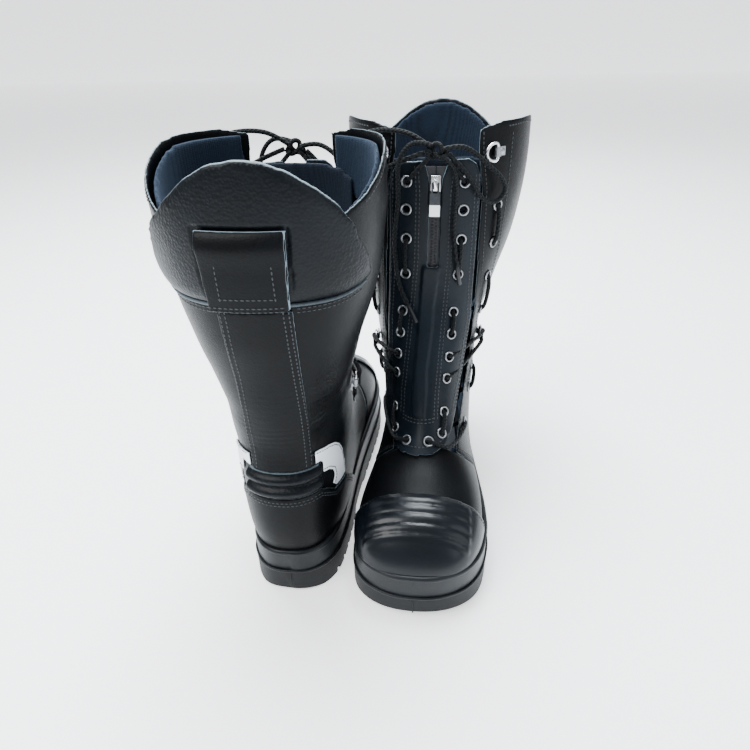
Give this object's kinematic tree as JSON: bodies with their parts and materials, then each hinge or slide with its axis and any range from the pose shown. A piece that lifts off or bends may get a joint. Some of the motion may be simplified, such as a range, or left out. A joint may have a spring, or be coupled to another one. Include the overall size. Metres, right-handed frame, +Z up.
{
  "type": "pair of fire boots",
  "caption": "Tall black leather fire boots with padded collars, pull loops, laced zip-in front inserts, ribbed toe guards and lugged rubber soles, as a standing pair.",
  "frame": {"origin": "Middle of the pair's bounding box on the floor, between the two boots.", "axes": "+Z up, from the floor to the collars. The right boot's toe points along +Y and the left boot's toe along -Y, each turned a few degrees. +X is across the pair, from the right boot to the left boot."},
  "size_m": [0.272, 0.3336, 0.342],
  "materials": {
    "black_leather": "smooth full-grain, dressed, semi-matt, with fine grain",
    "padded_leather": "pebbled soft leather over foam",
    "navy_lining": "matt knitted textile",
    "footbed_textile": "matt felt over foam",
    "insole_board": "pressed fibre board",
    "steel_plate": "plain pressed",
    "sole_rubber": "moulded, matt, fine texture",
    "midsole_rubber": "moulded, satin",
    "toe_rubber": "smooth satin with moulded ribs",
    "silver_patch": "silver retroreflective coated cloth",
    "zip_plastic": "moulded teeth on woven tape",
    "bright_nickel": "polished nickel plate",
    "grey_metal": "satin gunmetal plate",
    "lace_cord": "round braided cord"
  },
  "bodies": {
    "right_boot": {"right_outsole": "sole_rubber", "right_midsole": "midsole_rubber", "right_puncture_plate": "steel_plate", "right_insole_board": "insole_board", "right_footbed": "footbed_textile", "right_vamp": "black_leather", "right_quarter_lateral": "black_leather", "right_quarter_medial": "black_leather", "right_heel_counter": "black_leather", "right_counter_stiffener": "insole_board", "right_toe_cap": "steel_plate", "right_toe_guard": "toe_rubber", "right_ankle_pads": "padded_leather", "right_back_stay": "black_leather", "right_collar": "padded_leather", "right_pull_loop": "black_leather", "right_reflective_patches": "silver_patch", "right_lining": "navy_lining", "right_tongue": "navy_lining", "right_zip_insert": "black_leather", "right_zip_chain": "zip_plastic", "right_eyelets": "grey_metal", "right_ring_clips": "grey_metal", "right_ankle_rings": "bright_nickel", "right_lace": "lace_cord", "right_lace_bow": "lace_cord"},
    "right_slider": {"right_zip_slider": "bright_nickel"},
    "right_pull": {"right_zip_pull": "bright_nickel"},
    "right_ring_lateral": {"right_top_ring_lateral": "bright_nickel"},
    "right_ring_medial": {"right_top_ring_medial": "bright_nickel"},
    "left_boot": {"left_outsole": "sole_rubber", "left_midsole": "midsole_rubber", "left_puncture_plate": "steel_plate", "left_insole_board": "insole_board", "left_footbed": "footbed_textile", "left_vamp": "black_leather", "left_quarter_lateral": "black_leather", "left_quarter_medial": "black_leather", "left_heel_counter": "black_leather", "left_counter_stiffener": "insole_board", "left_toe_cap": "steel_plate", "left_toe_guard": "toe_rubber", "left_ankle_pads": "padded_leather", "left_back_stay": "black_leather", "left_collar": "padded_leather", "left_pull_loop": "black_leather", "left_reflective_patches": "silver_patch", "left_lining": "navy_lining", "left_tongue": "navy_lining", "left_zip_insert": "black_leather", "left_zip_chain": "zip_plastic", "left_eyelets": "grey_metal", "left_ring_clips": "grey_metal", "left_ankle_rings": "bright_nickel", "left_lace": "lace_cord", "left_lace_bow": "lace_cord"},
    "left_slider": {"left_zip_slider": "bright_nickel"},
    "left_pull": {"left_zip_pull": "bright_nickel"},
    "left_ring_lateral": {"left_top_ring_lateral": "bright_nickel"},
    "left_ring_medial": {"left_top_ring_medial": "bright_nickel"}
  },
  "joints": [
    {"name": "left_boot_apart", "type": "slide", "parent": "right_boot", "child": "left_boot", "axis": [1, 0, 0], "range_m": [0, 0.15]},
    {"name": "right_zip_slide", "type": "slide", "parent": "right_boot", "child": "right_slider", "axis": [0.0032, 0.0453, -0.999], "range_m": [0, 0.05]},
    {"name": "right_pull_swing", "type": "hinge", "parent": "right_slider", "child": "right_pull", "pos_m": [-0.05457, 0.00887, 0.29726], "axis": [0.9976, -0.0698, 0], "range_deg": [0, 120]},
    {"name": "right_ring_lateral_swing", "type": "hinge", "parent": "right_boot", "child": "right_ring_lateral", "pos_m": [-0.01014, -0.00858, 0.31814], "axis": [0.0211, 0.0296, -0.9993], "range_deg": [0, 165]},
    {"name": "right_ring_medial_swing", "type": "hinge", "parent": "right_boot", "child": "right_ring_medial", "pos_m": [-0.10099, -0.00222, 0.31814], "axis": [0.0167, -0.0323, 0.9993], "range_deg": [0, 90]},
    {"name": "left_zip_slide", "type": "slide", "parent": "left_boot", "child": "left_slider", "axis": [-0.0044, -0.0452, -0.999], "range_m": [0, 0.05]},
    {"name": "left_pull_swing", "type": "hinge", "parent": "left_slider", "child": "left_pull", "pos_m": [0.05235, -0.00978, 0.29726], "axis": [-0.9954, 0.0958, 0], "range_deg": [0, 120]},
    {"name": "left_ring_lateral_swing", "type": "hinge", "parent": "left_boot", "child": "left_ring_lateral", "pos_m": [0.09904, 0.0001, 0.31814], "axis": [-0.0159, 0.0327, 0.9993], "range_deg": [0, 165]},
    {"name": "left_ring_medial_swing", "type": "hinge", "parent": "left_boot", "child": "left_ring_medial", "pos_m": [0.0084, 0.00883, 0.31814], "axis": [-0.0218, -0.0291, -0.9993], "range_deg": [0, 90]}
  ]
}
